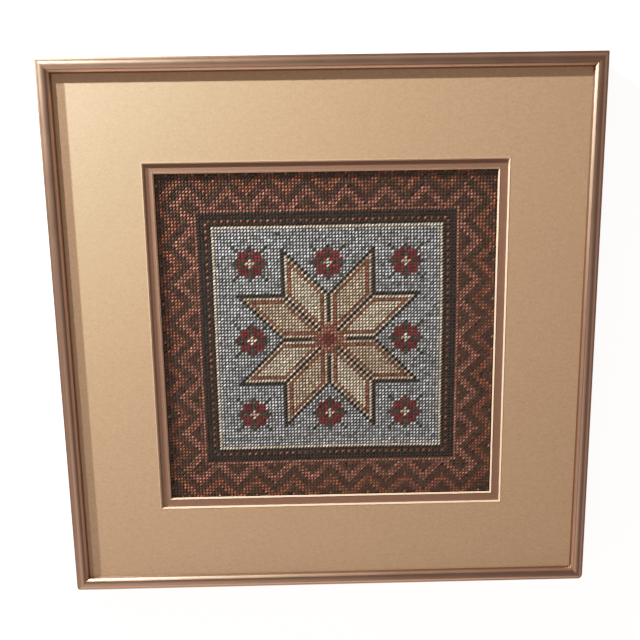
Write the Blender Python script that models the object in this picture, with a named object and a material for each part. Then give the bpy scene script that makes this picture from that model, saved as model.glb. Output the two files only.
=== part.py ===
"""A needlepoint picture on canvas, double matted in a slim metal section frame.

The panel lies on its back, so +Z points out of the picture and +Y to its top edge.
The origin is the middle of the frame's flat back. Every size is in metres.
"""

import math

import bmesh
import bpy

MM = 0.001
SEAT_GAP = 0.3 * MM
WELD = 0.01 * MM

# The frame: one extruded metal section, cut to four equal mitred rails
FRAME_SIZE = 419 * MM
FRAME_DEPTH = 22 * MM
FACE_WIDTH = 11 * MM
WALL = 1.4 * MM
FRONT_THICKNESS = 4.5 * MM
LEDGE_FALL = 2.5 * MM
LEDGE_RADIUS = 0.5 * MM
OUTER_RADIUS = 4.1 * MM
INNER_RADIUS = 5.9 * MM
FLANGE_REACH = 7.5 * MM
RETURN_REACH = 5 * MM
LEDGE_STEPS = 3
OUTER_STEPS = 7
INNER_STEPS = 11
SMOOTH_ANGLE = math.radians(35)

# The boards: two mats with bevelled windows, and the board behind the canvas
BOARD_SIZE = 414 * MM
MAT_THICKNESS = 1.4 * MM
BACKING_THICKNESS = 4 * MM
REVEAL = 5.6 * MM
OPENING_WIDTH = 259 * MM
OPENING_HEIGHT = 257.4 * MM
OPENING_CENTRE = (1.2 * MM, -3.1 * MM)

# The canvas: a plain ground with the stitched field standing up on it
CANVAS_SIZE = 400 * MM
GROUND_THICKNESS = 0.9 * MM
STITCH_THICKNESS = 1.3 * MM
STITCH_PITCH = 2.515 * MM
FIELD_COLUMNS = 109
FIELD_ROWS = 107

# Heights, from the front of the frame down
OUTER_MAT_TOP = FRAME_DEPTH - FRONT_THICKNESS - SEAT_GAP
INNER_MAT_TOP = OUTER_MAT_TOP - MAT_THICKNESS - SEAT_GAP
CANVAS_TOP = INNER_MAT_TOP - MAT_THICKNESS - SEAT_GAP
BACKING_TOP = CANVAS_TOP - STITCH_THICKNESS - GROUND_THICKNESS - SEAT_GAP
FLANGE_TOP = BACKING_TOP - BACKING_THICKNESS - SEAT_GAP

ROSE_METAL = (0.64, 0.415, 0.295)
CHAMPAGNE_CARD = (0.66, 0.42, 0.25)
ROSE_BROWN_CARD = (0.31, 0.165, 0.105)
WOOL = (0.30, 0.22, 0.20)
GREY_CARD = (0.42, 0.37, 0.30)


def clear_scene():
    for obj in list(bpy.data.objects):
        bpy.data.objects.remove(obj, do_unlink=True)


def material(name, colour, roughness, metallic=0.0):
    made = bpy.data.materials.new(name)
    made.use_nodes = True
    shader = made.node_tree.nodes["Principled BSDF"]
    shader.inputs["Base Color"].default_value = (*colour, 1.0)
    shader.inputs["Roughness"].default_value = roughness
    shader.inputs["Metallic"].default_value = metallic
    return made


def finished(name, bm, finish, smooth_angle=None):
    """Puts the bmesh into the scene as one object, with its faces outwards."""
    bmesh.ops.recalc_face_normals(bm, faces=bm.faces)
    mesh = bpy.data.meshes.new(name)
    bm.to_mesh(mesh)
    bm.free()
    mesh.materials.append(finish)
    if smooth_angle is not None:
        mesh.shade_smooth()
        mesh.set_sharp_from_angle(angle=smooth_angle)
    obj = bpy.data.objects.new(name, mesh)
    bpy.context.scene.collection.objects.link(obj)
    return obj


def arc(centre, radius, start, end, steps):
    """Points along an upright arc, by angle in degrees."""
    points = []
    for step in range(steps + 1):
        angle = math.radians(start + (end - start) * step / steps)
        across = centre[0] + radius * math.cos(angle)
        up = centre[1] + radius * math.sin(angle)
        points.append((across, up))
    return points


def rail_section():
    """The rail's section, as (distance in from the outer edge, height)."""
    rebate_top = FRAME_DEPTH - FRONT_THICKNESS
    ledge_top = FRAME_DEPTH - LEDGE_FALL
    outer_middle = FRAME_DEPTH - OUTER_RADIUS
    inner_middle = FRAME_DEPTH - INNER_RADIUS
    # The bead's flank starts on the ledge, and its broad inner side ends at the rebate
    start = 180 - math.degrees(math.asin((ledge_top - outer_middle) / OUTER_RADIUS))
    end = math.degrees(math.asin((rebate_top - inner_middle) / INNER_RADIUS))
    crest = FACE_WIDTH - INNER_RADIUS * math.cos(math.radians(end))
    ledge = arc((LEDGE_RADIUS, ledge_top - LEDGE_RADIUS), LEDGE_RADIUS, 180, 90, LEDGE_STEPS)
    outer_curve = arc((crest, outer_middle), OUTER_RADIUS, start, 90, OUTER_STEPS)
    inner_curve = arc((crest, inner_middle), INNER_RADIUS, 90, end, INNER_STEPS)
    channel = [
        (WALL, rebate_top),
        (WALL, FLANGE_TOP),
        (FLANGE_REACH, FLANGE_TOP),
        (FLANGE_REACH, FLANGE_TOP - WALL),
        (WALL, FLANGE_TOP - WALL),
        (WALL, WALL),
        (RETURN_REACH, WALL),
        (RETURN_REACH, 0),
    ]
    return [(0, 0)] + ledge + outer_curve + inner_curve[1:] + channel


def frame_rail(name, turn, finish):
    """One rail, modelled along the bottom edge and turned about the picture's middle."""
    half = FRAME_SIZE / 2
    mitre_gap = SEAT_GAP / math.sqrt(2)
    bm = bmesh.new()
    verts = [bm.verts.new((-half, inset - half, up)) for inset, up in rail_section()]
    section = bm.faces.new(verts)
    grown = bmesh.ops.extrude_face_region(bm, geom=[section])["geom"]
    far_end = [item for item in grown if isinstance(item, bmesh.types.BMVert)]
    bmesh.ops.translate(bm, verts=far_end, vec=(FRAME_SIZE, 0, 0))
    # Each end is sheared back to its mitre, as far as the point lies in from the edge
    for vert in bm.verts:
        reach = -vert.co.y - mitre_gap
        vert.co.x = math.copysign(reach, vert.co.x)
    rail = finished(name, bm, finish, SMOOTH_ANGLE)
    rail.rotation_euler.z = math.radians(turn)
    return rail


def opening_edges(margin):
    """Left, right, bottom and top of the picture's opening, grown by a margin."""
    across = OPENING_WIDTH / 2 + margin
    upward = OPENING_HEIGHT / 2 + margin
    x, y = OPENING_CENTRE
    return x - across, x + across, y - upward, y + upward


def rectangle(bm, edges, height):
    """A closed loop of four edges, level at a height."""
    left, right, bottom, top = edges
    corners = ((left, bottom), (right, bottom), (right, top), (left, top))
    verts = [bm.verts.new((x, y, height)) for x, y in corners]
    return [bm.edges.new((verts[step - 1], verts[step])) for step in range(4)]


def sweep_loop(bm, loop, edges, height):
    """Extrudes a four-edged loop and spreads its copy to the given edges and height."""
    grown = bmesh.ops.extrude_edge_only(bm, edges=loop)["geom"]
    left, right, bottom, top = edges
    for item in grown:
        if isinstance(item, bmesh.types.BMVert):
            item.co.x = right if item.co.x > 0 else left
            item.co.y = top if item.co.y > 0 else bottom
            item.co.z = height
    return [item for item in grown if isinstance(item, bmesh.types.BMEdge)]


def mat_board(name, top, window_margin, finish):
    """A mat whose window is cut at 45 degrees, wider at its face than at its back."""
    half = BOARD_SIZE / 2
    outside = (-half, half, -half, half)
    under = top - MAT_THICKNESS
    bm = bmesh.new()
    loop = rectangle(bm, outside, under)
    loop = sweep_loop(bm, loop, outside, top)
    loop = sweep_loop(bm, loop, opening_edges(window_margin + MAT_THICKNESS), top)
    loop = sweep_loop(bm, loop, opening_edges(window_margin), under)
    sweep_loop(bm, loop, outside, under)
    bmesh.ops.remove_doubles(bm, verts=bm.verts, dist=WELD)
    return finished(name, bm, finish)


def stitched_canvas(name, finish):
    """The canvas ground, with the stitched field raised above its bare margin."""
    half = CANVAS_SIZE / 2
    across = FIELD_COLUMNS * STITCH_PITCH / 2
    upward = FIELD_ROWS * STITCH_PITCH / 2
    x, y = OPENING_CENTRE
    sheet = (-half, half, -half, half)
    field = (x - across, x + across, y - upward, y + upward)
    ground_top = CANVAS_TOP - STITCH_THICKNESS
    bm = bmesh.new()
    loop = rectangle(bm, sheet, ground_top - GROUND_THICKNESS)
    loop = sweep_loop(bm, loop, sheet, ground_top)
    loop = sweep_loop(bm, loop, field, ground_top)
    sweep_loop(bm, loop, field, CANVAS_TOP)
    bmesh.ops.holes_fill(bm, edges=bm.edges, sides=4)
    return finished(name, bm, finish)


def backing_board(name, finish):
    bm = bmesh.new()
    bmesh.ops.create_cube(bm, size=1)
    bmesh.ops.scale(bm, vec=(BOARD_SIZE, BOARD_SIZE, BACKING_THICKNESS), verts=bm.verts)
    middle = BACKING_TOP - BACKING_THICKNESS / 2
    bmesh.ops.translate(bm, vec=(0, 0, middle), verts=bm.verts)
    return finished(name, bm, finish)


def build():
    clear_scene()
    metal = material("satin_rose_metal", ROSE_METAL, 0.32, 1.0)
    frame_rail("frame_bottom", 0, metal)
    frame_rail("frame_right", 90, metal)
    frame_rail("frame_top", 180, metal)
    frame_rail("frame_left", 270, metal)

    outer_card = material("champagne_mat", CHAMPAGNE_CARD, 0.6)
    outer_margin = MAT_THICKNESS + REVEAL
    mat_board("outer_mat", OUTER_MAT_TOP, outer_margin, outer_card)
    inner_card = material("rose_brown_mat", ROSE_BROWN_CARD, 0.7)
    mat_board("inner_mat", INNER_MAT_TOP, 0, inner_card)

    stitched_canvas("needlepoint_canvas", material("tent_stitch_wool", WOOL, 0.9))
    backing_board("backing_board", material("grey_board", GREY_CARD, 0.85))


build()
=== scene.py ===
"""The finished look of a framed needlepoint canvas panel, laid out as a Blender add-on.

The panel lies on its back: +Z points out of the picture and +Y to its top edge. All sizes are in
metres, and every piece is made in its place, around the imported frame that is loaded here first.
"""

import math
import random

import bmesh
import bpy
import numpy as np
from bpy.props import (
    FloatProperty,
    FloatVectorProperty,
    IntProperty,
    PointerProperty,
)
from mathutils import Euler, Matrix, Vector


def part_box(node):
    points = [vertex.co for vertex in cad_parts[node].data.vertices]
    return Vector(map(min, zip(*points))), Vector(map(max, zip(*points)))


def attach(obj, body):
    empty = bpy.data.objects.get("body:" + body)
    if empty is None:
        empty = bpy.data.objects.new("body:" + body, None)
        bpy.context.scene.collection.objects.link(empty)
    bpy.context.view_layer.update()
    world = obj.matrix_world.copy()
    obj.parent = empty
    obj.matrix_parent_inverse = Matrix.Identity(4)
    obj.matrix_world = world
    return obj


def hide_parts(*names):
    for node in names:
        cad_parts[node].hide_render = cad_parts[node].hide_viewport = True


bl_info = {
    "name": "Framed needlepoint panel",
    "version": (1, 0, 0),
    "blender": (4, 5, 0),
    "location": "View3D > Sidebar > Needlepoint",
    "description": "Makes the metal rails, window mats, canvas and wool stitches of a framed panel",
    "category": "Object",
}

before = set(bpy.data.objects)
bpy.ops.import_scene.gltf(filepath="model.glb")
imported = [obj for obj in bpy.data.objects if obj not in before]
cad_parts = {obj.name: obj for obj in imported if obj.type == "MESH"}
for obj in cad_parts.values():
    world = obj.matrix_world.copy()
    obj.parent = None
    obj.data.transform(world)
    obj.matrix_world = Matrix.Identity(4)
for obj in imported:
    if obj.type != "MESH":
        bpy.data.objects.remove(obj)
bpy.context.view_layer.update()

MM = 0.001
BODY = "root"
WELD = 0.01 * MM

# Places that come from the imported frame: its half size is taken at the tips of a rail
HALF_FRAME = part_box("frame_bottom")[1].x
FACE_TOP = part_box("frame_bottom")[1].z
HALF_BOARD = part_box("outer_mat")[1].x
CANVAS_LOW, CANVAS_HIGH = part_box("needlepoint_canvas")
OUTER_MAT_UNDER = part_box("outer_mat")[0].z
SEAT_GAP = 0.3 * MM
FLANGE_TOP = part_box("backing_board")[0].z - SEAT_GAP

# The two mat boards, one close on the other
BOARD_GAP = 0.05 * MM
MAT_THICKNESS = 1.32 * MM
INNER_MAT_TOP = OUTER_MAT_UNDER - BOARD_GAP

# The rail's face, measured in from its outer edge and down from the crest of its bead
FRONT_THICKNESS = 4.5 * MM
LEDGE_FALL = 2.5 * MM
LEDGE_RADIUS = 0.4 * MM
LEDGE_TILT = 12
LEDGE_GROOVE = 0.12 * MM
CREST_INSET = 5.35 * MM
OUTER_RADIUS = 4.1 * MM
INNER_RADIUS = 7.4 * MM
CREASE_ANGLE = 66
CREASE_DEPTH = 0.5 * MM
CREASE_STEP = 0.1 * MM
LIP_START = 8.55 * MM
LIP_RADIUS = 8.6 * MM
LIP_ANGLES = (52, 38)
EDGE_RADIUS = 0.5 * MM
EDGE_ANGLE = 12
EDGE_FOOT = 10.9 * MM

# The channel behind the rail's face, and how finely its arcs and worn corners are cut
WALL = 1.4 * MM
FLANGE_REACH = 7.5 * MM
RETURN_REACH = 5 * MM
LEDGE_STEPS = 4
BEAD_STEPS = 14
MITRE_GAP = 0.05 * MM
CORNER_CUTS = 5
RAIL_NAMES = ("frame_bottom", "frame_right", "frame_top", "frame_left")
SMOOTH_ANGLE = math.radians(35)

# The picture's opening in the inner mat
OPENING_CENTRE = Vector((1.2 * MM, -3.1 * MM))
OPENING_HALF = Vector((129.5 * MM, 128.7 * MM))
REVEAL = 5.9 * MM

# The stitched field: one tent stitch over each crossing of the canvas
PITCH = 2.515 * MM
HALF_COLUMNS = 54
HALF_ROWS = 53
GROUND_THICKNESS = 0.9 * MM

# The chart of the sampler, in stitches from its middle
STAR_ARM = 14
STAR_OUTLINE_INSET = 2
HEART_REACH = 5
HEART_MIDDLE_REACH = 2
FIELD_REACH = 34
BORDER_START = 40
BAND_WIDTH = 3
ZIGZAG_REACH = 6
BLOSSOM_PLACES = ((24, 0), (0, 24), (24, 24))
PETAL_REACH_SQUARED = 18
LEAF_REACH = 5


# ---------------------------------------------------------------- settings


class RailSettings(bpy.types.PropertyGroup):
    colour: FloatVectorProperty(
        name="Metal",
        description="Colour of the satin metal section",
        subtype="COLOR",
        default=(0.64, 0.415, 0.295),
        min=0,
        max=1,
    )
    roughness: FloatProperty(
        name="Roughness",
        description="How far the satin finish spreads a highlight",
        subtype="FACTOR",
        default=0.37,
        min=0.05,
        max=1,
    )
    corner_radii: FloatVectorProperty(
        name="Corner radii",
        description="Wear of the corners: bottom left, bottom right, top right, top left",
        size=4,
        unit="LENGTH",
        default=(2.2 * MM, 3.8 * MM, 0.9 * MM, 0.7 * MM),
    )


class MatSettings(bpy.types.PropertyGroup):
    outer_colour: FloatVectorProperty(
        name="Outer face",
        description="Colour of the outer mat's face paper",
        subtype="COLOR",
        default=(0.66, 0.42, 0.25),
        min=0,
        max=1,
    )
    inner_colour: FloatVectorProperty(
        name="Inner face",
        description="Colour of the inner mat's face paper",
        subtype="COLOR",
        default=(0.31, 0.165, 0.105),
        min=0,
        max=1,
    )
    core_colour: FloatVectorProperty(
        name="Core",
        description="Colour of both boards' core, which the bevels show",
        subtype="COLOR",
        default=(0.86, 0.60, 0.40),
        min=0,
        max=1,
    )
    cut_edge: FloatProperty(
        name="Cut edge",
        description="Width of the soft edge that the cutter leaves along the window",
        unit="LENGTH",
        default=0.20 * MM,
        min=0.05 * MM,
    )


class StitchSettings(bpy.types.PropertyGroup):
    half_length: FloatProperty(
        name="Half length",
        description="Half the length of a stitch, from hole to hole",
        unit="LENGTH",
        default=1.58 * MM,
    )
    half_width: FloatProperty(
        name="Half width",
        description="Half the width of the yarn over a crossing",
        unit="LENGTH",
        default=0.74 * MM,
    )
    half_height: FloatProperty(
        name="Half height",
        description="Half the depth of the yarn over a crossing",
        unit="LENGTH",
        default=1.00 * MM,
    )
    unevenness: FloatProperty(
        name="Unevenness",
        description="How far the stitches differ from each other in size, slant and height",
        subtype="FACTOR",
        default=0.10,
    )
    seed: IntProperty(
        name="Seed",
        description="Starts the draws for the stitches' unevenness",
        default=17,
    )


class StageSettings(bpy.types.PropertyGroup):
    floor_colour: FloatVectorProperty(
        name="Floor",
        description="Colour of the plain floor",
        subtype="COLOR",
        default=(0.86, 0.85, 0.84),
        min=0,
        max=1,
    )
    floor_glow: FloatProperty(
        name="Floor glow",
        description="Light that the floor gives off, which keeps its shadows soft",
        default=1.22,
        min=0,
    )
    far_lamp_power: FloatProperty(
        name="Far lamp",
        description="Power of the higher lamp past the panel's top edge",
        unit="POWER",
        default=7.6,
        min=0,
    )
    near_lamp_power: FloatProperty(
        name="Near lamp",
        description="Power of the lower lamp near the panel's top left corner",
        unit="POWER",
        default=10.0,
        min=0,
    )
    lamp_gloss: FloatProperty(
        name="Lamp gloss",
        description="Share of the lamps' light that shiny surfaces mirror",
        subtype="FACTOR",
        default=0.76,
        min=0,
        max=1,
    )
    front_power: FloatProperty(
        name="Front light",
        description="Power of the low soft light past the panel's lower edge",
        unit="POWER",
        default=1.25,
        min=0,
    )
    ceiling_power: FloatProperty(
        name="Ceiling light",
        description="Power of the broad light overhead, which the metal doesn't mirror",
        unit="POWER",
        default=1.45,
        min=0,
    )


class NeedlepointSettings(bpy.types.PropertyGroup):
    rails: PointerProperty(type=RailSettings)
    mats: PointerProperty(type=MatSettings)
    stitches: PointerProperty(type=StitchSettings)
    stage: PointerProperty(type=StageSettings)


# ---------------------------------------------------------------- shader writing


class Value:
    """A shader socket that carries a number, so that maths on it is written as Python."""

    def __init__(self, finish, socket):
        self.finish = finish
        self.socket = socket

    def __add__(self, other):
        return self.finish.maths("ADD", self, other)

    def __radd__(self, other):
        return self.finish.maths("ADD", other, self)

    def __sub__(self, other):
        return self.finish.maths("SUBTRACT", self, other)

    def __rsub__(self, other):
        return self.finish.maths("SUBTRACT", other, self)

    def __mul__(self, other):
        return self.finish.maths("MULTIPLY", self, other)

    def __rmul__(self, other):
        return self.finish.maths("MULTIPLY", other, self)

    def wave(self):
        """Its sine, brought from -1..1 to 0..1."""
        return self.finish.maths("SINE", self) * 0.5 + 0.5

    def ramp(self, start, end):
        """0 up to start and 1 from end on, with a smooth step between them."""
        settings = {"interpolation_type": "SMOOTHSTEP"}
        values = {"Value": self, "From Min": start, "From Max": end}
        return Value(self.finish, self.finish.node("ShaderNodeMapRange", settings, values).outputs[0])


class Finish:
    """One material, with short ways to write its nodes."""

    def __init__(self, name, roughness, metallic=0.0):
        self.material = bpy.data.materials.new(name)
        self.material.use_nodes = True
        self.tree = self.material.node_tree
        self.shader = self.tree.nodes["Principled BSDF"]
        self.shader.inputs["Roughness"].default_value = roughness
        self.shader.inputs["Metallic"].default_value = metallic
        self.place = self.node("ShaderNodeTexCoord").outputs["Object"]

    def feed(self, socket, value):
        if isinstance(value, Value):
            value = value.socket
        if isinstance(value, bpy.types.NodeSocket):
            self.tree.links.new(value, socket)
        elif hasattr(value, "__len__") and len(value) == 3 and socket.type == "RGBA":
            socket.default_value = (*value, 1.0)
        else:
            socket.default_value = value

    def node(self, kind, settings=None, values=None):
        """Adds a node: its settings first, then its sockets' values or links, by name or number."""
        made = self.tree.nodes.new(kind)
        for name, setting in (settings or {}).items():
            setattr(made, name, setting)
        for key, value in (values or {}).items():
            self.feed(made.inputs[key], value)
        return made

    def maths(self, operation, first, second=None):
        values = {0: first} if second is None else {0: first, 1: second}
        return Value(self, self.node("ShaderNodeMath", {"operation": operation}, values).outputs[0])

    def axis(self, name):
        """One coordinate of the place on the piece."""
        return Value(self, self.node("ShaderNodeSeparateXYZ", None, {0: self.place}).outputs[name])

    def noise(self, scale, detail, roughness, stretch=(1, 1, 1)):
        """Noise with this many waves to the metre, longer along an axis whose stretch is small."""
        scaled = self.node("ShaderNodeMapping", None, {"Vector": self.place, "Scale": stretch})
        values = {
            "Vector": scaled.outputs[0],
            "Scale": scale,
            "Detail": detail,
            "Roughness": roughness,
        }
        return Value(self, self.node("ShaderNodeTexNoise", None, values).outputs["Fac"])

    def specks(self, scale, radius):
        """1 in small round specks, about this many to the metre, and 0 between them."""
        values = {"Vector": self.place, "Scale": scale, "Randomness": 1.0}
        cell = self.node("ShaderNodeTexVoronoi", None, values)
        return 1 - Value(self, cell.outputs["Distance"]).ramp(radius * 0.5, radius)

    def attribute(self, name):
        return Value(self, self.node("ShaderNodeAttribute", {"attribute_name": name}).outputs["Fac"])

    def mix(self, factor, first, second):
        """A colour between two others."""
        values = {0: factor, 6: first, 7: second}
        return self.node("ShaderNodeMix", {"data_type": "RGBA"}, values).outputs[2]

    def shaded(self, colour, factor):
        """A colour made lighter or darker by a number."""
        settings = {"operation": "SCALE"}
        return self.node("ShaderNodeVectorMath", settings, {0: colour, "Scale": factor}).outputs[0]

    def colour(self, value):
        self.feed(self.shader.inputs["Base Color"], value)

    def rough(self, value):
        self.feed(self.shader.inputs["Roughness"], value)

    def relief(self, height, depth, strength):
        """Bumps this deep, in metres, where the height goes from 0 to 1."""
        values = {"Height": height, "Distance": depth, "Strength": strength}
        self.feed(self.shader.inputs["Normal"], self.node("ShaderNodeBump", None, values).outputs[0])

    def constant(self, **sockets):
        for name, value in sockets.items():
            self.shader.inputs[name.replace("_", " ")].default_value = value


class Surroundings(Finish):
    """The light from all round, with the same short ways to write its nodes."""

    def __init__(self, name):
        self.world = bpy.data.worlds.new(name)
        self.world.use_nodes = True
        self.tree = self.world.node_tree
        self.shader = self.tree.nodes["Background"]
        self.place = self.node("ShaderNodeTexCoord").outputs["Object"]


# ---------------------------------------------------------------- finishes


BRUSHING_LENGTH = 0.012
# Painted shade along the foot of the lip: how much it darkens the metal, and the insets where it
# begins and where it is full
FOOT_PAINTED_SHADE = 0.42
FOOT_PAINTED_SHADE_START = EDGE_FOOT - 0.9 * MM
FOOT_PAINTED_SHADE_END = EDGE_FOOT - 0.4 * MM


def rail_metal(name, look, brushed_along_x):
    """Satin rose-gold metal, brushed along the rail, with handling marks, and a painted shade that
    darkens the foot of its lip.
    """
    made = Finish(name, look.roughness, metallic=1.0)
    stretch = (BRUSHING_LENGTH, 1, 1) if brushed_along_x else (1, BRUSHING_LENGTH, 1)
    brushing = made.noise(4200, 3, 0.6, stretch)
    clouding = made.noise(34, 3, 0.55)
    pits = made.specks(260, 0.06)
    # Painted shade: the steep foot of the lip is painted darker where it meets the mat, in place of
    # the shadow in the joint there
    sideways = made.axis("Y" if brushed_along_x else "X")
    inset = HALF_FRAME - made.maths("ABSOLUTE", sideways)
    foot_shade = inset.ramp(FOOT_PAINTED_SHADE_START, FOOT_PAINTED_SHADE_END)
    tone = (0.90 + 0.10 * brushing + 0.12 * clouding - 0.25 * pits) * (1 - FOOT_PAINTED_SHADE * foot_shade)
    made.colour(made.shaded(tuple(look.colour), tone))
    made.rough(look.roughness - 0.07 + 0.10 * brushing + 0.10 * clouding + 0.2 * pits)
    made.relief(brushing - 0.8 * pits, 0.03 * MM, 0.6)
    return made.material


PAPER_ROUGHNESS = 0.60
PAPER_SPECK = (0.20, 0.12, 0.07)
OUTER_GRAIN_DEPTH = 0.25 * MM
INNER_GRAIN_DEPTH = 0.10 * MM


def face_paper(name, colour, grain_depth, specked):
    """A mat's face paper: fine fibre grain, faint clouding and a few specks."""
    made = Finish(name, PAPER_ROUGHNESS)
    grain = made.noise(900, 3, 0.6)
    fibres = made.noise(420, 4, 0.6, (0.5, 1, 1))
    clouding = made.noise(11, 3, 0.5)
    tone = 0.61 + 0.50 * grain + 0.24 * fibres + 0.05 * clouding
    paper = made.shaded(colour, tone)
    if specked:
        specks = made.specks(28, 0.016)
        paper = made.mix(specks * 0.55, paper, PAPER_SPECK)
    made.colour(paper)
    made.rough(PAPER_ROUGHNESS - 0.10 + 0.14 * grain + 0.06 * clouding)
    made.relief(grain * 0.6 + fibres * 0.4, grain_depth, 0.5)
    made.constant(Specular_IOR_Level=0.5)
    return made.material


def core_board(name, colour):
    """The cut core of a mat board, drawn out a little by the blade."""
    made = Finish(name, 0.8)
    pulp = made.noise(900, 4, 0.6)
    layers = made.noise(2600, 2, 0.5, (0.1, 0.1, 1))
    made.colour(made.shaded(colour, 0.88 + 0.10 * pulp + 0.08 * layers))
    made.relief(pulp * 0.5 + layers * 0.5, 0.05 * MM, 0.5)
    return made.material


BOARD_COLOUR = (0.42, 0.37, 0.30)
BOARD_FLECK = (0.20, 0.16, 0.12)


def back_board(name):
    """Plain grey-brown board with long pulp fibres, faint clouding and flecks."""
    made = Finish(name, 0.88)
    fibres = made.noise(380, 5, 0.65, (1, 0.3, 1))
    clouding = made.noise(16, 3, 0.5)
    flecks = made.specks(300, 0.10)
    tone = 0.78 + 0.22 * fibres + 0.14 * clouding
    board = made.shaded(BOARD_COLOUR, tone)
    made.colour(made.mix(flecks * 0.4, board, BOARD_FLECK))
    made.relief(fibres, 0.12 * MM, 0.5)
    return made.material


CANVAS_THREAD = (0.30, 0.25, 0.19)


def canvas_weave(name):
    """Undyed even-weave canvas: threads over and under, at the stitches' pitch."""
    made = Finish(name, 0.85)
    turn = 2 * math.pi / PITCH
    warp = (made.axis("X") * turn).wave()
    weft = (made.axis("Y") * turn).wave()
    threads = warp * weft
    fuzz = made.noise(2400, 3, 0.6)
    made.colour(made.shaded(CANVAS_THREAD, 0.35 + 0.6 * threads + 0.2 * fuzz))
    made.relief(threads * 0.8 + fuzz * 0.2, 0.4 * MM, 0.8)
    return made.material


PLY_WIDTH = 0.62 * MM
PLY_TURN = 2.1 * MM
# Painted shade: below the first height the wool shows its painted hole shade colour, above the second
# its colour in the light
HOLE_SHADE_LEVEL = CANVAS_HIGH.z - 0.72 * MM
LIT_LEVEL = CANVAS_HIGH.z - 0.10 * MM


def wool(name, colour, hole_shade_colour):
    """Twisted wool with plies, loose fibres and uneven dye, and a painted shade that darkens it
    towards its hole colour down in the holes.
    """
    made = Finish(name, 0.82)
    along = (made.axis("X") + made.axis("Y")) * math.sqrt(0.5)
    across = (made.axis("Y") - made.axis("X")) * math.sqrt(0.5)
    plies = (across * (2 * math.pi / PLY_WIDTH) + along * (2 * math.pi / PLY_TURN)).wave()
    fibres = made.noise(5200, 3, 0.6)
    dye = made.noise(120, 2, 0.5)
    # Painted shade: lower on the stitch the colour goes over to the dark hole colour, where the holes
    # of the canvas lie in shade
    height = made.axis("Z").ramp(HOLE_SHADE_LEVEL, LIT_LEVEL)
    shade = made.attribute("shade")
    tone = 0.84 + 0.12 * plies + 0.14 * fibres + 0.10 * dye + 0.32 * shade
    lit = made.shaded(colour, tone)
    made.colour(made.mix(height, hole_shade_colour, lit))
    made.relief(plies * 0.6 + fibres * 0.4, 0.12 * MM, 0.7)
    made.constant(Sheen_Weight=0.08, Sheen_Roughness=0.5, Specular_IOR_Level=0.25)
    return made.material


def pale_paint(name, look):
    """The stage's pale paint, which gives off a little light of its own."""
    made = Finish(name, 0.9)
    soft = made.noise(6, 3, 0.5)
    made.colour(made.shaded(tuple(look.floor_colour), 0.99 + 0.02 * soft))
    made.constant(Emission_Color=(1.0, 0.99, 0.98, 1.0), Emission_Strength=look.floor_glow)
    return made.material


# ---------------------------------------------------------------- shared steps


def settings():
    return bpy.context.scene.needlepoint


def piece(name, mesh, finishes, nodes=()):
    """Links a finished mesh as one piece of the panel."""
    for finish in finishes:
        mesh.materials.append(finish)
    made = bpy.data.objects.new(name, mesh)
    bpy.context.scene.collection.objects.link(made)
    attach(made, BODY)
    if nodes:
        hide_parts(*nodes)
    return made


def mesh_of(name, bm, smooth_angle=None):
    """The bmesh as a mesh whose faces point outwards."""
    bmesh.ops.recalc_face_normals(bm, faces=bm.faces)
    mesh = bpy.data.meshes.new(name)
    bm.to_mesh(mesh)
    bm.free()
    if smooth_angle is not None:
        mesh.shade_smooth()
        mesh.set_sharp_from_angle(angle=smooth_angle)
    return mesh


def grown_verts(result):
    return [item for item in result["geom"] if isinstance(item, bmesh.types.BMVert)]


# ---------------------------------------------------------------- the rails


def on_circle(centre, radius, angle):
    """The point of an upright circle at an angle in degrees."""
    turn = math.radians(angle)
    return centre[0] + radius * math.cos(turn), centre[1] + radius * math.sin(turn)


def arc(centre, radius, start, end, steps):
    """Points along an upright arc, by angle in degrees."""
    sweep = end - start
    return [on_circle(centre, radius, start + sweep * step / steps) for step in range(steps + 1)]


def rail_section():
    """The section as (distance in from the outer edge, height), from the back round the face."""
    rebate = FACE_TOP - FRONT_THICKNESS
    ledge_top = FACE_TOP - LEDGE_FALL
    outer_middle = FACE_TOP - OUTER_RADIUS
    inner_middle = FACE_TOP - INNER_RADIUS
    start = 180 - math.degrees(math.asin((ledge_top - outer_middle) / OUTER_RADIUS))
    flank = arc((CREST_INSET, outer_middle), OUTER_RADIUS, start, 90, BEAD_STEPS)
    # The ledge leans out a little, and a fine groove parts it from the flank
    inner_end = flank[0][0] - 1.4 * LEDGE_GROOVE
    rim_height = ledge_top - inner_end * math.tan(math.radians(LEDGE_TILT)) - LEDGE_RADIUS
    rim_middle = (LEDGE_RADIUS, rim_height)
    ledge = arc(rim_middle, LEDGE_RADIUS, 180, 90 + LEDGE_TILT, LEDGE_STEPS)
    ledge.append((inner_end, ledge_top))
    ledge.append((flank[0][0] - 0.4 * LEDGE_GROOVE, ledge_top - LEDGE_GROOVE))
    crown = arc((CREST_INSET, inner_middle), INNER_RADIUS, 90, CREASE_ANGLE, BEAD_STEPS)
    # Past a fine crease, a sloping lip ends in a steep edge that stands on the mat
    top = on_circle((0, 0), LIP_RADIUS, LIP_ANGLES[0])
    lip_middle = (LIP_START - top[0], crown[-1][1] - CREASE_STEP - top[1])
    lip = arc(lip_middle, LIP_RADIUS, *LIP_ANGLES, BEAD_STEPS)
    turn = on_circle((0, 0), EDGE_RADIUS, LIP_ANGLES[1])
    edge_middle = (lip[-1][0] - turn[0], lip[-1][1] - turn[1])
    edge = arc(edge_middle, EDGE_RADIUS, LIP_ANGLES[1], EDGE_ANGLE, LEDGE_STEPS)
    crease = ((crown[-1][0] + lip[0][0]) / 2, lip[0][1] - CREASE_DEPTH)
    channel = [
        (EDGE_FOOT, rebate),
        (WALL, rebate),
        (WALL, FLANGE_TOP),
        (FLANGE_REACH, FLANGE_TOP),
        (FLANGE_REACH, FLANGE_TOP - WALL),
        (WALL, FLANGE_TOP - WALL),
        (WALL, WALL),
        (RETURN_REACH, WALL),
        (RETURN_REACH, 0),
    ]
    return [(0, 0)] + ledge + flank + crown[1:] + [crease] + lip + edge[1:] + channel


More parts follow.
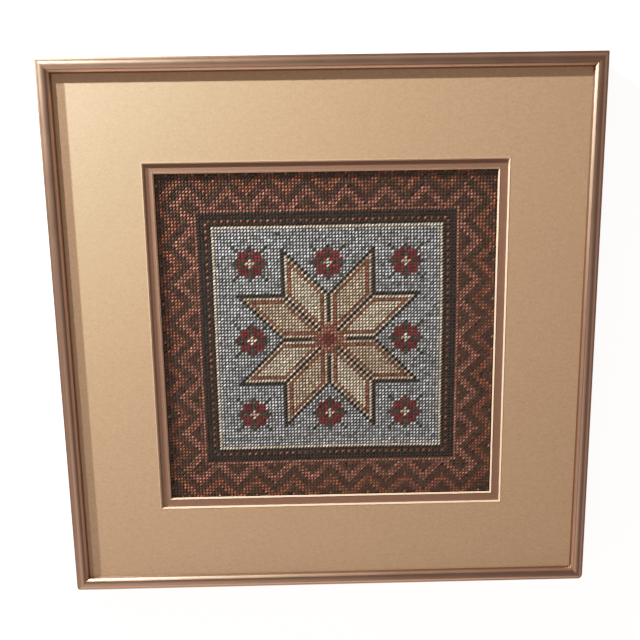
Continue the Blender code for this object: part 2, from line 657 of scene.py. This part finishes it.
def round_end(bm, side, radius):
    """Cuts the rail near one end and eases its outer corner to a radius."""
    corner = HALF_FRAME - radius
    for step in range(CORNER_CUTS):
        place = side * (corner + radius * step / CORNER_CUTS)
        bmesh.ops.bisect_plane(
            bm,
            geom=bm.verts[:] + bm.edges[:] + bm.faces[:],
            dist=WELD / 10,
            plane_co=(place, 0, 0),
            plane_no=(1, 0, 0),
        )
    for vert in bm.verts:
        outward = Vector((side * vert.co.x - corner, -vert.co.y - corner))
        if outward.x > 0 and outward.y > 0:
            outward *= max(outward) / outward.length
            vert.co.x = side * (corner + outward.x)
            vert.co.y = -corner - outward.y


def make_rail(index, radii, finish):
    """One mitred rail, made along the bottom edge and turned to its own side."""
    bm = bmesh.new()
    verts = [bm.verts.new((-HALF_FRAME, inset - HALF_FRAME, up)) for inset, up in rail_section()]
    section = bm.faces.new(verts)
    grown = bmesh.ops.extrude_face_region(bm, geom=[section])
    bmesh.ops.translate(bm, verts=grown_verts(grown), vec=(2 * HALF_FRAME, 0, 0))
    for vert in bm.verts:
        vert.co.x = math.copysign(-vert.co.y - MITRE_GAP, vert.co.x)
    round_end(bm, -1, radii[index])
    round_end(bm, 1, radii[(index + 1) % len(RAIL_NAMES)])
    turned = Matrix.Rotation(index * math.pi / 2, 3, "Z")
    bmesh.ops.rotate(bm, verts=bm.verts, cent=(0, 0, 0), matrix=turned)
    node = RAIL_NAMES[index]
    mesh = mesh_of("rail_" + node, bm, SMOOTH_ANGLE)
    return piece("rail_" + node.removeprefix("frame_"), mesh, [finish], [node])


class NEEDLEPOINT_OT_rails(bpy.types.Operator):
    """Makes the four mitred rails of satin metal section"""

    bl_idname = "needlepoint.rails"
    bl_label = "Metal rails"

    def execute(self, context):
        look = settings().rails
        level = rail_metal("satin_rose_metal_level", look, True)
        upright = rail_metal("satin_rose_metal_upright", look, False)
        for index in range(len(RAIL_NAMES)):
            make_rail(index, look.corner_radii, upright if index % 2 else level)
        return {"FINISHED"}


# ---------------------------------------------------------------- the mats


def opening_edges(margin):
    """Left, right, bottom and top of the picture's opening, grown by a margin."""
    low = OPENING_CENTRE - OPENING_HALF
    high = OPENING_CENTRE + OPENING_HALF
    return low.x - margin, high.x + margin, low.y - margin, high.y + margin


def rectangle(bm, edges, height):
    """A closed loop of four edges, level at a height."""
    left, right, bottom, top = edges
    corners = ((left, bottom), (right, bottom), (right, top), (left, top))
    verts = [bm.verts.new((x, y, height)) for x, y in corners]
    return [bm.edges.new((verts[step - 1], verts[step])) for step in range(4)]


def sweep_loop(bm, loop, edges, height, finish_index):
    """Extrudes a four-edged loop and spreads its copy to the given edges and height."""
    grown = bmesh.ops.extrude_edge_only(bm, edges=loop)["geom"]
    left, right, bottom, top = edges
    for item in grown:
        if isinstance(item, bmesh.types.BMVert):
            item.co.x = right if item.co.x > 0 else left
            item.co.y = top if item.co.y > 0 else bottom
            item.co.z = height
        elif isinstance(item, bmesh.types.BMFace):
            item.material_index = finish_index
    return [item for item in grown if isinstance(item, bmesh.types.BMEdge)]


BEVEL_REACH = 0.6 * MM
BURR_REACH = 0.8 * MM
BURR_RISE = 0.15 * MM
WINDOW_MARGIN = 0.4 * MM


def make_mat(name, under, top, margin, cut_edge, finishes, node):
    """A mat board with face paper on top and its core bare on the bevel of its window.

    The cutter's blade leaves the paper raised in a low burr along the window.
    """
    paper, core = 0, 1
    outside = (-HALF_BOARD, HALF_BOARD, -HALF_BOARD, HALF_BOARD)
    shoulder = margin + BEVEL_REACH
    edge = shoulder + cut_edge
    bm = bmesh.new()
    loop = rectangle(bm, outside, under)
    loop = sweep_loop(bm, loop, outside, top, core)
    loop = sweep_loop(bm, loop, opening_edges(edge + BURR_REACH), top, paper)
    loop = sweep_loop(bm, loop, opening_edges(edge), top + BURR_RISE, paper)
    loop = sweep_loop(bm, loop, opening_edges(shoulder), top - cut_edge * 0.5, core)
    loop = sweep_loop(bm, loop, opening_edges(margin), under, core)
    sweep_loop(bm, loop, outside, under, core)
    bmesh.ops.remove_doubles(bm, verts=bm.verts, dist=WELD)
    return piece(name, mesh_of(name, bm), finishes, [node])


class NEEDLEPOINT_OT_mats(bpy.types.Operator):
    """Makes the two mats, with their bevelled windows"""

    bl_idname = "needlepoint.mats"
    bl_label = "Window mats"

    def execute(self, context):
        look = settings().mats
        core = core_board("mat_core", tuple(look.core_colour))
        outer = face_paper("champagne_paper", tuple(look.outer_colour), OUTER_GRAIN_DEPTH, True)
        inner = face_paper("rose_brown_paper", tuple(look.inner_colour), INNER_GRAIN_DEPTH, False)
        margin = WINDOW_MARGIN + MAT_THICKNESS + REVEAL
        make_mat(
            "outer_window_mat",
            OUTER_MAT_UNDER,
            OUTER_MAT_UNDER + MAT_THICKNESS,
            margin,
            look.cut_edge,
            [outer, core],
            "outer_mat",
        )
        make_mat(
            "inner_window_mat",
            INNER_MAT_TOP - MAT_THICKNESS,
            INNER_MAT_TOP,
            WINDOW_MARGIN,
            look.cut_edge,
            [inner, core],
            "inner_mat",
        )
        return {"FINISHED"}


# ---------------------------------------------------------------- the canvas and its stitches


GROUND_CELLS = 72
PIN_SPACING = 40 * MM
SCALLOP = 0.7 * MM
SCALLOP_FADE = 9


class NEEDLEPOINT_OT_canvas(bpy.types.Operator):
    """Makes the even-weave canvas, its edges scalloped between the pins that stretch it"""

    bl_idname = "needlepoint.canvas"
    bl_label = "Canvas ground"

    def execute(self, context):
        half = CANVAS_HIGH.x
        top = CANVAS_LOW.z + GROUND_THICKNESS
        bm = bmesh.new()
        bmesh.ops.create_grid(bm, x_segments=GROUND_CELLS, y_segments=GROUND_CELLS, size=half)
        for vert in bm.verts:
            pull = Vector((vert.co.x / half, vert.co.y / half))
            wave_x = abs(math.sin(math.pi * vert.co.x / PIN_SPACING))
            wave_y = abs(math.sin(math.pi * vert.co.y / PIN_SPACING))
            vert.co.x -= SCALLOP * wave_y * pull.x**SCALLOP_FADE
            vert.co.y -= SCALLOP * wave_x * pull.y**SCALLOP_FADE
            vert.co.z = top
        grown = bmesh.ops.extrude_face_region(bm, geom=bm.faces[:])
        bmesh.ops.translate(bm, verts=grown_verts(grown), vec=(0, 0, -GROUND_THICKNESS))
        mesh = mesh_of("canvas_ground", bm)
        weave = canvas_weave("even_weave_canvas")
        piece("canvas_ground", mesh, [weave], ["needlepoint_canvas"])
        return {"FINISHED"}


# Each yarn: its colour where the light reaches it, and the painted shade colour it takes down in the
# holes of the canvas
YARNS = {
    "sky": ((0.92, 0.945, 1.00), (0.006, 0.007, 0.010)),
    "cream": ((1.00, 0.92, 0.76), (0.46, 0.34, 0.22)),
    "sand": ((1.00, 0.80, 0.60), (0.26, 0.17, 0.10)),
    "rust": ((0.62, 0.205, 0.112), (0.045, 0.009, 0.005)),
    "clay": ((0.72, 0.285, 0.195), (0.060, 0.014, 0.010)),
    "umber": ((0.195, 0.090, 0.060), (0.014, 0.005, 0.003)),
    "ink": ((0.056, 0.041, 0.035), (0.003, 0.0025, 0.002)),
    "crimson": ((0.44, 0.053, 0.060), (0.012, 0.001, 0.002)),
    "leaf": ((0.120, 0.165, 0.120), (0.004, 0.006, 0.004)),
}

# The border's bands, from the inside out and then over again
BORDER_BANDS = ("umber", "rust", "umber", "clay")


def blossom_yarn(column, row):
    """A four-petalled blossom with leaves between its petals, or nothing."""
    across, up = abs(column), abs(row)
    reach = across * across + up * up
    if reach <= 1:
        return "cream"
    if min(across, up) >= 1 and reach <= PETAL_REACH_SQUARED:
        return "crimson"
    if min(across, up) == 0 and across + up <= LEAF_REACH:
        return "leaf"
    if across == up and across <= LEAF_REACH:
        return "leaf"
    return None


def star_yarn(column, row):
    """The eight-pointed star, each arm half light and half shaded, or nothing."""
    far = max(abs(column), abs(row))
    near = min(abs(column), abs(row))
    side = far - near
    if near > STAR_ARM or side > STAR_ARM:
        return None
    if far + near <= HEART_REACH:
        return "crimson" if far + near <= HEART_MIDDLE_REACH else "clay"
    if near == 0 or side == 0 or near == STAR_ARM or side == STAR_ARM:
        return "ink"
    if min(near, side, STAR_ARM - near, STAR_ARM - side) == STAR_OUTLINE_INSET:
        return "rust"
    shaded = (abs(column) > abs(row)) != (column * row > 0)
    return "sand" if shaded else "cream"


def border_yarn(far, near):
    """The bands round the field and the flame-stitch border outside them."""
    if far == FIELD_REACH + 1:
        return "cream"
    if far < BORDER_START:
        dotted = far == FIELD_REACH + 3 and near % 2 == 0
        return "rust" if dotted else "ink"
    if far == BORDER_START:
        return "clay"
    wave = abs(near % (2 * ZIGZAG_REACH) - ZIGZAG_REACH)
    return BORDER_BANDS[(far + wave) // BAND_WIDTH % len(BORDER_BANDS)]


def yarn_at(column, row):
    """The yarn of one stitch of the chart, counted from the middle."""
    far = max(abs(column), abs(row))
    near = min(abs(column), abs(row))
    if far > FIELD_REACH:
        return border_yarn(far, near)
    for place in BLOSSOM_PLACES:
        found = blossom_yarn(abs(column) - place[0], abs(row) - place[1])
        if found:
            return found
    return star_yarn(column, row) or "sky"


# Slow waves that pull the canvas out of square: reach, radians to the metre by x and y, start
PULLS_ACROSS = ((0.28 * MM, 0, 17, 2.0), (0.16 * MM, 9, 41, 0))
PULLS_UP = ((0.26 * MM, 19, 0, 0.7), (0.15 * MM, 37, -13, 0))


def drift(pulls, x, y):
    """How far the canvas has been pulled there, by the waves of one direction."""
    return sum(reach * math.sin(by_x * x + by_y * y + start) for reach, by_x, by_y, start in pulls)


PAD_SEGMENTS = 7
PAD_RINGS = 5
PAD_FULLNESS = (0.85, 0.90)


def stitch_template(look):
    """One tent stitch: a pad of yarn that lies over a crossing and dives at both ends."""
    bm = bmesh.new()
    bmesh.ops.create_uvsphere(bm, u_segments=PAD_SEGMENTS, v_segments=PAD_RINGS, radius=1)
    for axis in ("Y", "X"):
        quarter = Matrix.Rotation(math.pi / 2, 3, axis)
        bmesh.ops.rotate(bm, verts=bm.verts, cent=(0, 0, 0), matrix=quarter)
    for vert in bm.verts:
        vert.co.y = math.copysign(abs(vert.co.y) ** PAD_FULLNESS[0], vert.co.y)
        vert.co.z = math.copysign(abs(vert.co.z) ** PAD_FULLNESS[1], vert.co.z)
    size = (look.half_length, look.half_width, look.half_height)
    bmesh.ops.scale(bm, vec=size, verts=bm.verts)
    mesh = mesh_of("stitch", bm)
    mesh.shade_smooth()
    template = bpy.data.objects.new("stitch", mesh)
    bpy.context.scene.collection.objects.link(template)
    return template


def laying_tree(template):
    """Geometry nodes that lay the template on each point, by the point's own turn and size."""
    tree = bpy.data.node_groups.new("lay_stitches", "GeometryNodeTree")
    tree.interface.new_socket("Geometry", in_out="INPUT", socket_type="NodeSocketGeometry")
    tree.interface.new_socket("Geometry", in_out="OUTPUT", socket_type="NodeSocketGeometry")
    points = tree.nodes.new("NodeGroupInput")
    result = tree.nodes.new("NodeGroupOutput")
    source = tree.nodes.new("GeometryNodeObjectInfo")
    source.inputs["Object"].default_value = template
    laid = tree.nodes.new("GeometryNodeInstanceOnPoints")
    real = tree.nodes.new("GeometryNodeRealizeInstances")
    turned = tree.nodes.new("FunctionNodeEulerToRotation")
    for name, socket in (("turn", turned.inputs["Euler"]), ("size", laid.inputs["Scale"])):
        read = tree.nodes.new("GeometryNodeInputNamedAttribute")
        read.data_type = "FLOAT_VECTOR"
        read.inputs["Name"].default_value = name
        tree.links.new(read.outputs["Attribute"], socket)
    tree.links.new(turned.outputs["Rotation"], laid.inputs["Rotation"])
    tree.links.new(points.outputs[0], laid.inputs["Points"])
    tree.links.new(source.outputs["Geometry"], laid.inputs["Instance"])
    tree.links.new(laid.outputs["Instances"], real.inputs["Geometry"])
    tree.links.new(real.outputs["Geometry"], result.inputs[0])
    return tree


# How the stitches lie: their slant, and the gap over their crests
SLANT = math.pi / 4
CREST_GAP = 0.05 * MM

# How far they stray: in place, in their turn about each axis, in size and in shade
PLACE_SPREAD = 0.04 * MM
SINK_SPREAD = 0.05 * MM
TURN_SPREAD = (0.10, 0.05, 0.07)
LENGTH_SPREAD = 0.5
HEIGHT_SPREAD = 0.8
ROW_SHADE_SPREAD = 0.25
SHADE_SPREAD = 0.6


def draw_stitches(look):
    """The place, turn, size and shade of every stitch, sorted by yarn."""
    draw = random.Random(look.seed)
    spread = look.unevenness
    lie = CANVAS_HIGH.z - CREST_GAP - look.half_height
    found = {name: [] for name in YARNS}
    for row in range(-HALF_ROWS, HALF_ROWS + 1):
        row_shade = draw.gauss(0, ROW_SHADE_SPREAD)
        for column in range(-HALF_COLUMNS, HALF_COLUMNS + 1):
            x = OPENING_CENTRE.x + column * PITCH
            y = OPENING_CENTRE.y + row * PITCH
            place = (
                x + drift(PULLS_ACROSS, x, y) + draw.gauss(0, PLACE_SPREAD),
                y + drift(PULLS_UP, x, y) + draw.gauss(0, PLACE_SPREAD),
                lie - abs(draw.gauss(0, SINK_SPREAD)),
            )
            turn = [draw.gauss(0, stray) for stray in TURN_SPREAD]
            turn[2] += SLANT
            size = (
                1 + draw.gauss(0, LENGTH_SPREAD * spread),
                1 + draw.gauss(0, spread),
                1 - abs(draw.gauss(0, HEIGHT_SPREAD * spread)),
            )
            shade = row_shade + draw.gauss(0, SHADE_SPREAD)
            found[yarn_at(column, row)].append((place, turn, size, shade))
    return found


def lay_yarn(name, stitches, tree):
    """The stitches of one yarn as one mesh, each with its shade, and a flat map."""
    places, turns, sizes, shades = zip(*stitches)
    points = bpy.data.meshes.new("points")
    points.from_pydata(places, [], [])
    for attribute, values in (("turn", turns), ("size", sizes)):
        layer = points.attributes.new(attribute, "FLOAT_VECTOR", "POINT")
        layer.data.foreach_set("vector", np.array(values, np.float32).ravel())
    layer = points.attributes.new("shade", "FLOAT", "POINT")
    layer.data.foreach_set("value", np.array(shades, np.float32))
    carrier = bpy.data.objects.new("points", points)
    bpy.context.scene.collection.objects.link(carrier)
    carrier.modifiers.new("lay", "NODES").node_group = tree
    depsgraph = bpy.context.evaluated_depsgraph_get()
    mesh = bpy.data.meshes.new_from_object(carrier.evaluated_get(depsgraph), depsgraph=depsgraph)
    mesh.name = name
    bpy.data.objects.remove(carrier)
    for attribute in ("turn", "size"):
        mesh.attributes.remove(mesh.attributes[attribute])
    mesh.materials.clear()
    flat_map(mesh)
    return mesh


def flat_map(mesh):
    """Maps the piece as it is seen from above, from its own left and lower edges."""
    corners = np.zeros(len(mesh.loops), np.int32)
    mesh.loops.foreach_get("vertex_index", corners)
    points = np.zeros(len(mesh.vertices) * 3, np.float32)
    mesh.vertices.foreach_get("co", points)
    flat = points.reshape(-1, 3)[corners, :2]
    low = flat.min(axis=0)
    span = (flat.max(axis=0) - low).max()
    layer = mesh.uv_layers.new(name="OFBake")
    layer.data.foreach_set("uv", ((flat - low) / span).ravel())


class NEEDLEPOINT_OT_stitches(bpy.types.Operator):
    """Works the sampler in tent stitch, one piece for each yarn"""

    bl_idname = "needlepoint.stitches"
    bl_label = "Wool stitches"

    def execute(self, context):
        look = settings().stitches
        template = stitch_template(look)
        tree = laying_tree(template)
        for name, stitches in draw_stitches(look).items():
            colour, hole_shade_colour = YARNS[name]
            mesh = lay_yarn("yarn_" + name, stitches, tree)
            finish = wool("wool_" + name, colour, hole_shade_colour)
            piece("yarn_" + name, mesh, [finish])
        bpy.data.objects.remove(template)
        return {"FINISHED"}


# ---------------------------------------------------------------- the back


class NEEDLEPOINT_OT_back(bpy.types.Operator):
    """Finishes the board behind the canvas"""

    bl_idname = "needlepoint.back"
    bl_label = "Backing board"

    def execute(self, context):
        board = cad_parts["backing_board"]
        finish = back_board("grey_brown_board")
        for slot in board.material_slots:
            slot.material = finish
        return {"FINISHED"}


# ---------------------------------------------------------------- the stage


CAMERA_PLACE = Vector((-0.0125, 0.1071, 0.5526))
CAMERA_TURN = (9.962, 0.738, 1.0465)
CAMERA_LENS = 39.375
FAR_LAMP_PLACE = Vector((-0.544, 0.776, 0.284))
NEAR_LAMP_PLACE = Vector((-0.564, 0.488, 0.152))
LAMP_SIZE = (0.014, 0.014)
FAR_LAMP_COLOUR = (1.0, 0.98, 0.91)
NEAR_LAMP_COLOUR = (1.0, 1.0, 0.96)
FRONT_PLACE = Vector((-0.2, -0.85, 0.18))
FRONT_SIZE = (1.3, 0.32)
FRONT_COLOUR = (1.0, 0.88, 0.82)
CEILING_PLACE = Vector((-0.15, -0.5, 1.2))
CEILING_SIZE = (1.2, 1.2)
CEILING_COLOUR = (1.0, 0.97, 0.95)

FLOOR_HALF = 4.0
COVE_RADIUS = 1.5
BACKDROP_TOP = 4.5
BACKDROP_STEPS = 64

# The glow from each side, and the bands of direction where one passes into the next
SIDE_GLOW = (0.40, 0.34, 0.33)
FAR_GLOW = (0.36, 0.30, 0.28)
FRONT_BELOW_GLOW = (0.70, 0.585, 0.51)
FRONT_GLOW = (0.13, 0.105, 0.092)
ZENITH_GLOW = (0.115, 0.092, 0.082)
CORNER_GLOW = (0.95, 0.82, 0.78)
CORNER_SIDE = (-0.32, -0.45, 0.83)
BELOW_BAND = (0.0, 0.35)
FAR_BAND = (-0.1, 0.4)
SIDE_BAND = (0.15, 0.60)
ZENITH_BAND = (0.2, 0.5)
HIGH_BAND = (0.35, 0.70)
CORNER_BAND = (0.89, 0.99)

# The tone curve: the light that shows as white, and the tone shown for each light
TONE_WHITE = 1.5
TONE_STEPS = ((0.38, 0.38), (0.60, 0.565), (0.80, 0.695), (1.0, 0.785), (1.22, 0.90))


def add_light(name, place, size, power, colour):
    """A flat soft light that faces the middle of the panel."""
    data = bpy.data.lights.new(name, "AREA")
    data.shape = "RECTANGLE"
    data.size, data.size_y = size
    data.energy = power
    data.color = colour
    made = bpy.data.objects.new(name, data)
    made.location = place
    made.rotation_euler = (-place).to_track_quat("-Z", "Y").to_euler()
    bpy.context.scene.collection.objects.link(made)
    return made


def add_lamp(name, place, power, gloss, colour):
    """A small lamp in two parts at one place: shiny surfaces mirror only the first."""
    add_light(name, place, LAMP_SIZE, power * gloss, colour)
    matt = add_light(name + "_matt", place, LAMP_SIZE, power * (1 - gloss), colour)
    matt.visible_glossy = False


def add_surroundings():
    """Soft light from all round: palest past the lower left corner, dim overhead."""
    made = Surroundings("studio")
    sideways = made.axis("X") * made.axis("X")
    front = made.mix(made.axis("Z").ramp(*BELOW_BAND), FRONT_BELOW_GLOW, FRONT_GLOW)
    ahead = made.mix(made.axis("Y").ramp(*FAR_BAND), front, FAR_GLOW)
    low = made.mix(sideways.ramp(*SIDE_BAND), ahead, SIDE_GLOW)
    overhead = made.mix((0 - made.axis("Y")).ramp(*ZENITH_BAND), ZENITH_GLOW, FRONT_GLOW)
    high = made.mix(made.axis("Z").ramp(*HIGH_BAND), low, overhead)
    x, y, z = CORNER_SIDE
    towards = made.axis("X") * x + made.axis("Y") * y + made.axis("Z") * z
    glow = made.mix(towards.ramp(*CORNER_BAND), high, CORNER_GLOW)
    made.feed(made.shader.inputs["Color"], glow)
    bpy.context.scene.world = made.world


def set_tones():
    """A camera's tone curve, which holds back the brightest tones."""
    view = bpy.context.scene.view_settings
    view.view_transform = "Standard"
    view.use_curve_mapping = True
    mapping = view.curve_mapping
    mapping.white_level = (TONE_WHITE, TONE_WHITE, TONE_WHITE)
    for light, shown in TONE_STEPS:
        mapping.curves[3].points.new(light / TONE_WHITE, shown)
    mapping.update()


def add_camera():
    """The camera at the photograph's angle: the world's turn into its view, undone."""
    data = bpy.data.cameras.new("camera")
    data.lens = CAMERA_LENS
    data.clip_start = 0.01
    made = bpy.data.objects.new("camera", data)
    world_to_view = Euler([math.radians(angle) for angle in CAMERA_TURN], "XYZ").to_matrix()
    made.rotation_euler = world_to_view.transposed().to_euler()
    made.location = CAMERA_PLACE
    bpy.context.scene.collection.objects.link(made)
    bpy.context.scene.camera = made


def stage_surface(name, bm, look):
    """A pale surface of the stage, which shiny pieces don't mirror."""
    made = bpy.data.objects.new(name, mesh_of(name, bm))
    made.data.materials.append(pale_paint("pale_" + name, look))
    made.visible_glossy = False
    bpy.context.scene.collection.objects.link(made)
    return made


def add_floor(look):
    bm = bmesh.new()
    bmesh.ops.create_grid(bm, x_segments=8, y_segments=8, size=FLOOR_HALF)
    stage_surface("floor", bm, look)


def add_backdrop(look):
    """A round pale wall that rises from the floor; it throws no light and no shadow."""
    bm = bmesh.new()
    middle = (FLOOR_HALF - COVE_RADIUS, COVE_RADIUS)
    profile = arc(middle, COVE_RADIUS, 270, 360, BEAD_STEPS) + [(FLOOR_HALF, BACKDROP_TOP)]
    verts = [bm.verts.new((0, across, up)) for across, up in profile]
    edges = [bm.edges.new(pair) for pair in zip(verts, verts[1:])]
    bmesh.ops.spin(
        bm,
        geom=verts + edges,
        cent=(0, 0, 0),
        axis=(0, 0, 1),
        angle=2 * math.pi,
        steps=BACKDROP_STEPS,
        use_merge=True,
    )
    backdrop = stage_surface("backdrop", bm, look)
    backdrop.data.shade_smooth()
    backdrop.visible_diffuse = False
    backdrop.visible_shadow = False


class NEEDLEPOINT_OT_stage(bpy.types.Operator):
    """Sets the pale floor, the soft lights and the camera"""

    bl_idname = "needlepoint.stage"
    bl_label = "Stage"

    def execute(self, context):
        look = settings().stage
        add_floor(look)
        add_backdrop(look)
        gloss = look.lamp_gloss
        add_lamp("far_lamp", FAR_LAMP_PLACE, look.far_lamp_power, gloss, FAR_LAMP_COLOUR)
        add_lamp("near_lamp", NEAR_LAMP_PLACE, look.near_lamp_power, gloss, NEAR_LAMP_COLOUR)
        add_light("front", FRONT_PLACE, FRONT_SIZE, look.front_power, FRONT_COLOUR)
        power = look.ceiling_power
        ceiling = add_light("ceiling", CEILING_PLACE, CEILING_SIZE, power, CEILING_COLOUR)
        ceiling.visible_glossy = False
        add_surroundings()
        set_tones()
        add_camera()
        return {"FINISHED"}


# ---------------------------------------------------------------- the add-on


class NEEDLEPOINT_PT_panel(bpy.types.Panel):
    bl_idname = "NEEDLEPOINT_PT_panel"
    bl_label = "Framed needlepoint panel"
    bl_space_type = "VIEW_3D"
    bl_region_type = "UI"
    bl_category = "Needlepoint"

    def draw(self, context):
        look = context.scene.needlepoint
        for group in (look.rails, look.mats, look.stitches, look.stage):
            box = self.layout.box()
            for name in group.bl_rna.properties.keys():
                if name not in ("rna_type", "name"):
                    box.prop(group, name)
        for made in OPERATORS:
            self.layout.operator(made.bl_idname)


GROUPS = (RailSettings, MatSettings, StitchSettings, StageSettings, NeedlepointSettings)
OPERATORS = (
    NEEDLEPOINT_OT_rails,
    NEEDLEPOINT_OT_mats,
    NEEDLEPOINT_OT_canvas,
    NEEDLEPOINT_OT_stitches,
    NEEDLEPOINT_OT_back,
    NEEDLEPOINT_OT_stage,
)
CLASSES = (*GROUPS, *OPERATORS, NEEDLEPOINT_PT_panel)


def register():
    for made in CLASSES:
        bpy.utils.register_class(made)
    bpy.types.Scene.needlepoint = PointerProperty(type=NeedlepointSettings)


def unregister():
    del bpy.types.Scene.needlepoint
    for made in reversed(CLASSES):
        bpy.utils.unregister_class(made)


def main():
    register()
    bpy.ops.needlepoint.rails()
    bpy.ops.needlepoint.mats()
    bpy.ops.needlepoint.canvas()
    bpy.ops.needlepoint.stitches()
    bpy.ops.needlepoint.back()
    bpy.ops.needlepoint.stage()


if __name__ == "__main__":
    main()
